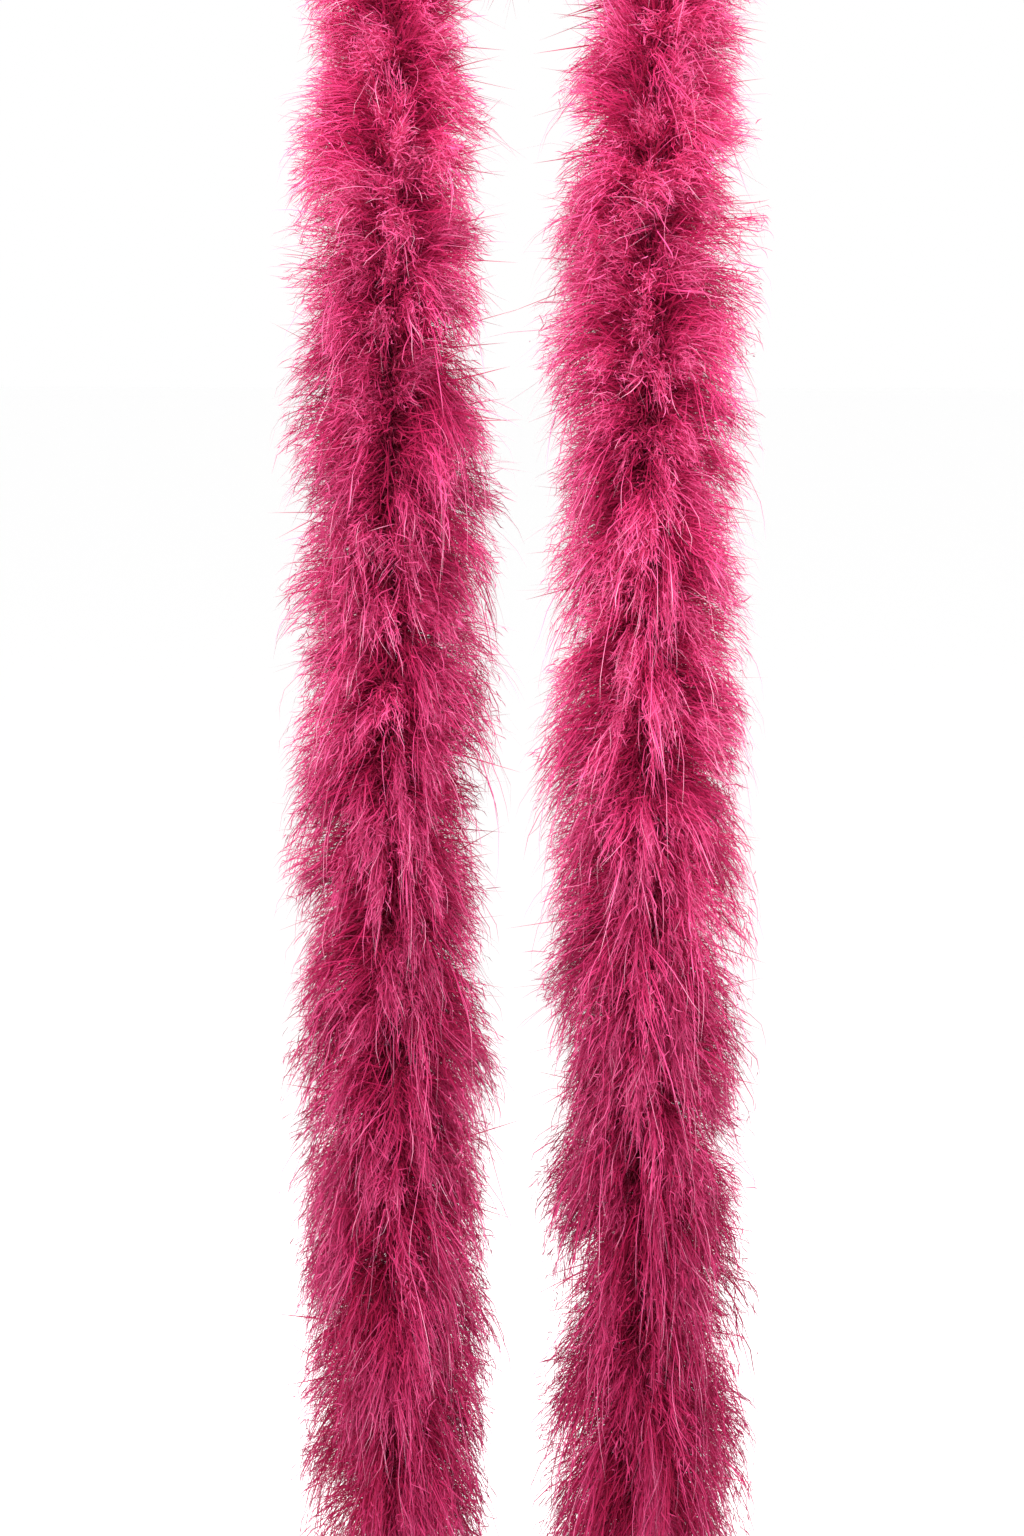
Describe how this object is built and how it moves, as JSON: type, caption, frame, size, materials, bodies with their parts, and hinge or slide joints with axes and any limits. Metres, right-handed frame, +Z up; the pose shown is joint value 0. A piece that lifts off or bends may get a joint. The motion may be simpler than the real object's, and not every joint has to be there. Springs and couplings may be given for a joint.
{
  "type": "feather boa",
  "caption": "Two-metre marabou feather boa worn round the neck, both fluffy ends hanging down the front and bending along their length.",
  "frame": {"origin": "the inner side of the boa at the middle of its length, where it rests on the nape of the neck", "axes": "+Z up, the wearer faces -Y, +X towards the wearer's left hand"},
  "size_m": [0.2314, 0.3074, 0.9007],
  "materials": {
    "plumes": "raspberry down, soft and matt",
    "core_cord": "dyed cotton cord, matt",
    "binding_thread": "dyed spun thread, slight sheen"
  },
  "bodies": {
    "collar": {"collar_plumes_left_1": "plumes", "collar_plumes_left_2": "plumes", "collar_plumes_left_3": "plumes", "collar_plumes_left_4": "plumes", "collar_plumes_left_5": "plumes", "collar_plumes_left_6": "plumes", "collar_plumes_right_1": "plumes", "collar_plumes_right_2": "plumes", "collar_plumes_right_3": "plumes", "collar_plumes_right_4": "plumes", "collar_plumes_right_5": "plumes", "collar_plumes_right_6": "plumes", "core_collar": "core_cord", "binding_thread_collar": "binding_thread"},
    "left_end_1": {"plumes_left_1": "plumes", "core_left_1": "core_cord", "binding_thread_left_1": "binding_thread"},
    "left_end_2": {"plumes_left_2": "plumes", "core_left_2": "core_cord", "binding_thread_left_2": "binding_thread"},
    "left_end_3": {"plumes_left_3": "plumes", "core_left_3": "core_cord", "binding_thread_left_3": "binding_thread"},
    "left_end_4": {"plumes_left_4": "plumes", "core_left_4": "core_cord", "binding_thread_left_4": "binding_thread"},
    "left_end_5": {"plumes_left_5": "plumes", "core_left_5": "core_cord", "binding_thread_left_5": "binding_thread"},
    "left_end_6": {"plumes_left_6": "plumes", "core_left_6": "core_cord", "binding_thread_left_6": "binding_thread", "end_whipping_left": "binding_thread", "end_knot_left": "core_cord"},
    "right_end_1": {"plumes_right_1": "plumes", "core_right_1": "core_cord", "binding_thread_right_1": "binding_thread"},
    "right_end_2": {"plumes_right_2": "plumes", "core_right_2": "core_cord", "binding_thread_right_2": "binding_thread"},
    "right_end_3": {"plumes_right_3": "plumes", "core_right_3": "core_cord", "binding_thread_right_3": "binding_thread"},
    "right_end_4": {"plumes_right_4": "plumes", "core_right_4": "core_cord", "binding_thread_right_4": "binding_thread"},
    "right_end_5": {"plumes_right_5": "plumes", "core_right_5": "core_cord", "binding_thread_right_5": "binding_thread"},
    "right_end_6": {"plumes_right_6": "plumes", "core_right_6": "core_cord", "binding_thread_right_6": "binding_thread", "end_whipping_right": "binding_thread", "end_knot_right": "core_cord"}
  },
  "joints": [
    {"name": "left_bend_1_fore_aft", "type": "hinge", "parent": "collar", "child": "left_end_1", "pos_m": [-0.0665, -0.199, -0.302], "axis": [1, 0, 0], "range_deg": [-30, 20]},
    {"name": "left_bend_2_sideways", "type": "hinge", "parent": "left_end_1", "child": "left_end_2", "pos_m": [-0.0665, -0.199, -0.39082], "axis": [0, 1, 0], "range_deg": [-1.5, 30]},
    {"name": "left_bend_3_fore_aft", "type": "hinge", "parent": "left_end_2", "child": "left_end_3", "pos_m": [-0.0665, -0.199, -0.47963], "axis": [1, 0, 0], "range_deg": [-30, 30]},
    {"name": "left_bend_4_sideways", "type": "hinge", "parent": "left_end_3", "child": "left_end_4", "pos_m": [-0.0665, -0.199, -0.56845], "axis": [0, -1, 0], "range_deg": [-30, 5]},
    {"name": "left_bend_5_fore_aft", "type": "hinge", "parent": "left_end_4", "child": "left_end_5", "pos_m": [-0.0665, -0.199, -0.65726], "axis": [1, 0, 0], "range_deg": [-30, 30]},
    {"name": "left_bend_6_sideways", "type": "hinge", "parent": "left_end_5", "child": "left_end_6", "pos_m": [-0.0665, -0.199, -0.74608], "axis": [0, -1, 0], "range_deg": [-30, 12]},
    {"name": "right_bend_1_fore_aft", "type": "hinge", "parent": "collar", "child": "right_end_1", "pos_m": [0.0665, -0.199, -0.302], "axis": [1, 0, 0], "range_deg": [-30, 20]},
    {"name": "right_bend_2_sideways", "type": "hinge", "parent": "right_end_1", "child": "right_end_2", "pos_m": [0.0665, -0.199, -0.39082], "axis": [0, -1, 0], "range_deg": [-1.5, 30]},
    {"name": "right_bend_3_fore_aft", "type": "hinge", "parent": "right_end_2", "child": "right_end_3", "pos_m": [0.0665, -0.199, -0.47963], "axis": [1, 0, 0], "range_deg": [-30, 30]},
    {"name": "right_bend_4_sideways", "type": "hinge", "parent": "right_end_3", "child": "right_end_4", "pos_m": [0.0665, -0.199, -0.56845], "axis": [0, 1, 0], "range_deg": [-30, 5]},
    {"name": "right_bend_5_fore_aft", "type": "hinge", "parent": "right_end_4", "child": "right_end_5", "pos_m": [0.0665, -0.199, -0.65726], "axis": [1, 0, 0], "range_deg": [-30, 30]},
    {"name": "right_bend_6_sideways", "type": "hinge", "parent": "right_end_5", "child": "right_end_6", "pos_m": [0.0665, -0.199, -0.74608], "axis": [0, 1, 0], "range_deg": [-30, 12]}
  ]
}
